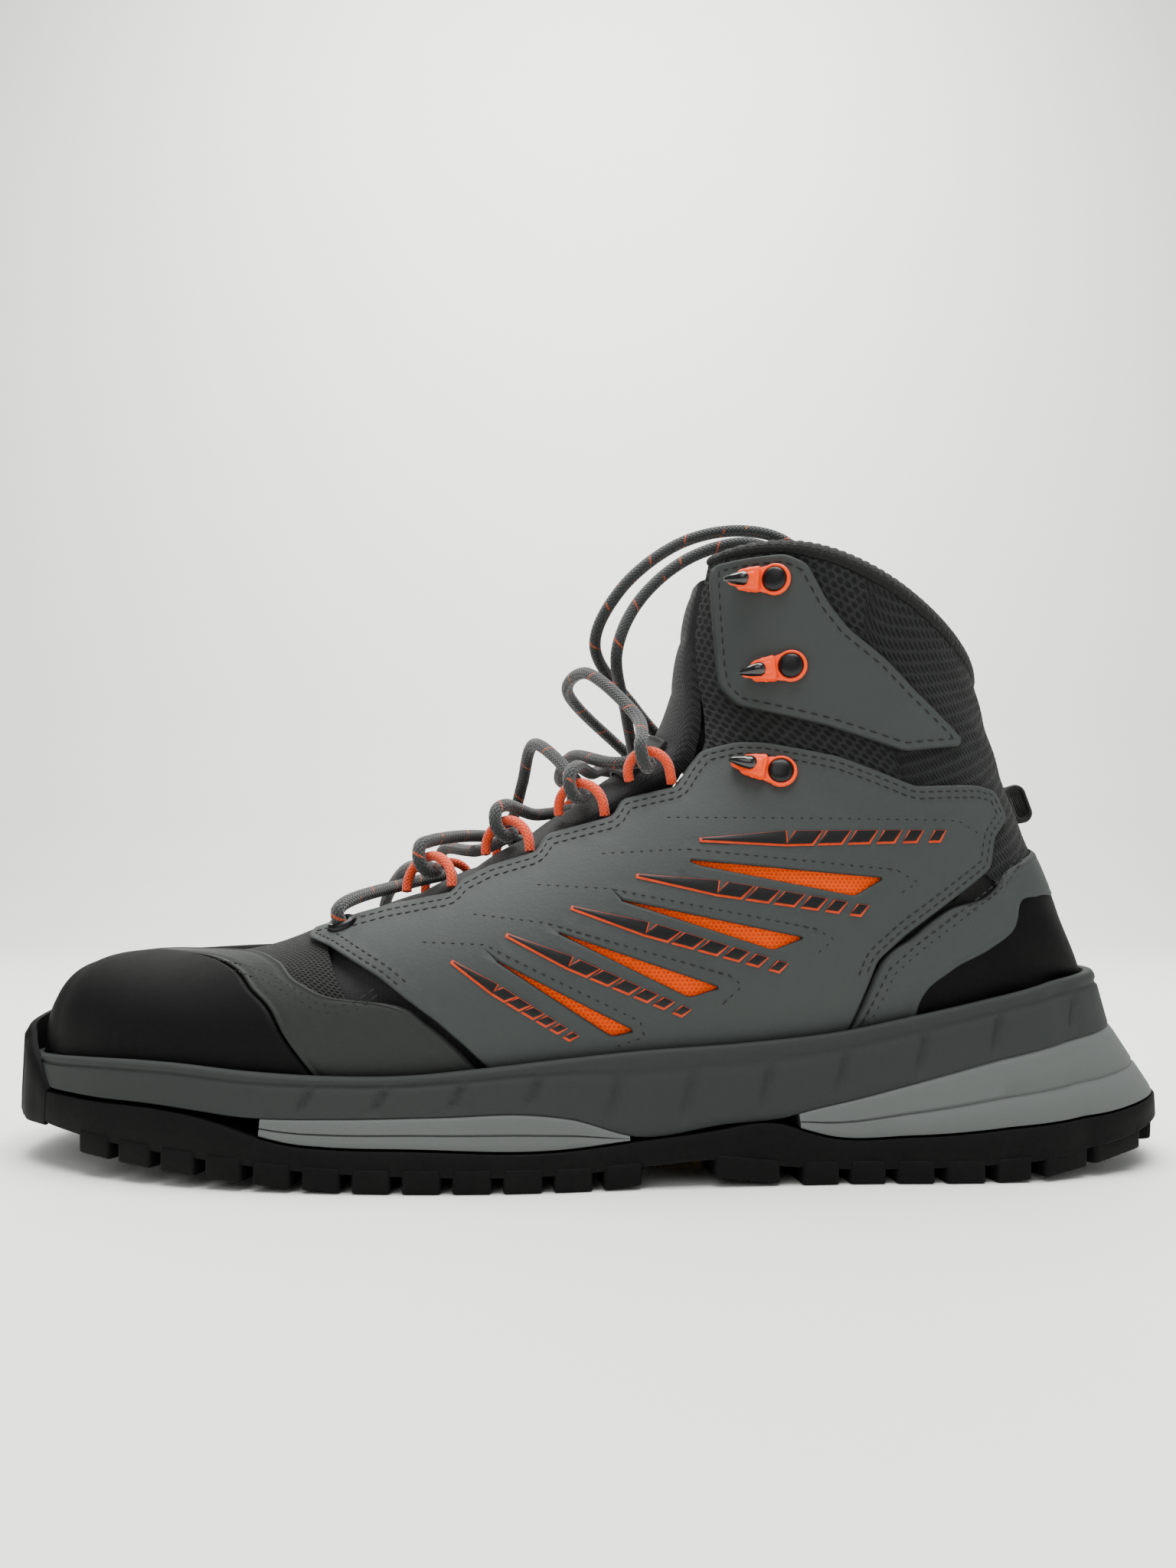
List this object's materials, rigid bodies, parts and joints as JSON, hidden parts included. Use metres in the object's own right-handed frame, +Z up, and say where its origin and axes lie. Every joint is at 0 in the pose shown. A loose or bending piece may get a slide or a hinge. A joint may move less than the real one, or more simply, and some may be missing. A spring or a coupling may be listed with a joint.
{
  "type": "hiking boot",
  "caption": "Mid-cut hiking boot with a rubber toe cap, coated leather panels over mesh, orange lace loops and hooks, a lugged sole and a padded collar.",
  "frame": {"origin": "centre of the boot's outline on the ground, at the bottom of the tread", "axes": "-X towards the toe, -Y towards the lateral side, +Z up"},
  "size_m": [0.2951, 0.1134, 0.1713],
  "materials": {
    "outsole_rubber": "black moulded rubber, satin",
    "arch_inlay": "yellow moulded rubber",
    "midsole_dark": "dark grey moulded foam, matte",
    "midsole_light": "lighter grey moulded foam, matte",
    "shank_steel": "plain steel",
    "board": "pressed fibre board",
    "footbed": "black textile over foam",
    "lining": "smooth black textile",
    "foam": "open foam",
    "stiffener": "stiff sheet",
    "vamp_mesh": "black hexagon mesh",
    "collar_mesh": "dark ribbed textile",
    "toe_cap": "black rubber, satin with a fine grain",
    "toe_overlay": "dark grey coated leather",
    "panel": "grey coated leather, matte",
    "window_mesh": "orange hexagon mesh",
    "flashes": "black raised print with an orange edge",
    "heel_patch": "black coated leather",
    "binding": "black edge tape",
    "dark_metal": "black painted metal",
    "hook_orange": "orange gloss paint",
    "beak_black": "black gloss",
    "loop_cord": "orange braided cord",
    "tongue": "black textile over foam",
    "tongue_facing": "dark coated leather",
    "webbing": "black ribbed webbing",
    "lace": "dark grey round braid with orange flecks",
    "aglet": "black plastic sleeve"
  },
  "bodies": {
    "boot": {"outsole": "outsole_rubber", "arch_inlay": "arch_inlay", "midsole_upper": "midsole_dark", "midsole_forefoot": "midsole_light", "midsole_heel": "midsole_light", "shank_plate": "shank_steel", "insole_board": "board", "footbed": "footbed", "lining": "lining", "ankle_foam": "foam", "toe_puff": "stiffener", "heel_counter": "stiffener", "vamp_mesh": "vamp_mesh", "collar_mesh": "collar_mesh", "toe_cap": "toe_cap", "toe_overlay": "toe_overlay", "quarter_lateral": "panel", "quarter_medial": "panel", "window_mesh_lateral": "window_mesh", "window_mesh_medial": "window_mesh", "side_flashes_lateral": "flashes", "side_flashes_medial": "flashes", "heel_overlay": "panel", "heel_patch": "heel_patch", "collar_panel_lateral": "panel", "collar_panel_medial": "panel", "collar_binding": "binding", "eyelet_lateral": "dark_metal", "eyelet_medial": "dark_metal", "hook_plates": "hook_orange", "hook_beaks": "beak_black", "hook_rivets": "dark_metal", "lace_loops_lateral": "loop_cord", "lace_loops_medial": "loop_cord", "pull_anchor": "webbing", "lace_lateral": "lace", "lace_medial": "lace", "lace_hank": "lace", "aglets": "aglet"},
    "tongue": {"tongue": "tongue", "tongue_facing": "tongue_facing"},
    "pull_loop": {"pull_loop": "webbing"}
  },
  "joints": [
    {"name": "tongue_swing", "type": "hinge", "parent": "boot", "child": "tongue", "pos_m": [-0.064, 0, 0.0563], "axis": [0, 1, 0], "range_deg": [0, 6]},
    {"name": "pull_swing", "type": "hinge", "parent": "boot", "child": "pull_loop", "pos_m": [0.11378, -0.0006, 0.09358], "axis": [0, -1, 0], "range_deg": [0, 70]}
  ]
}
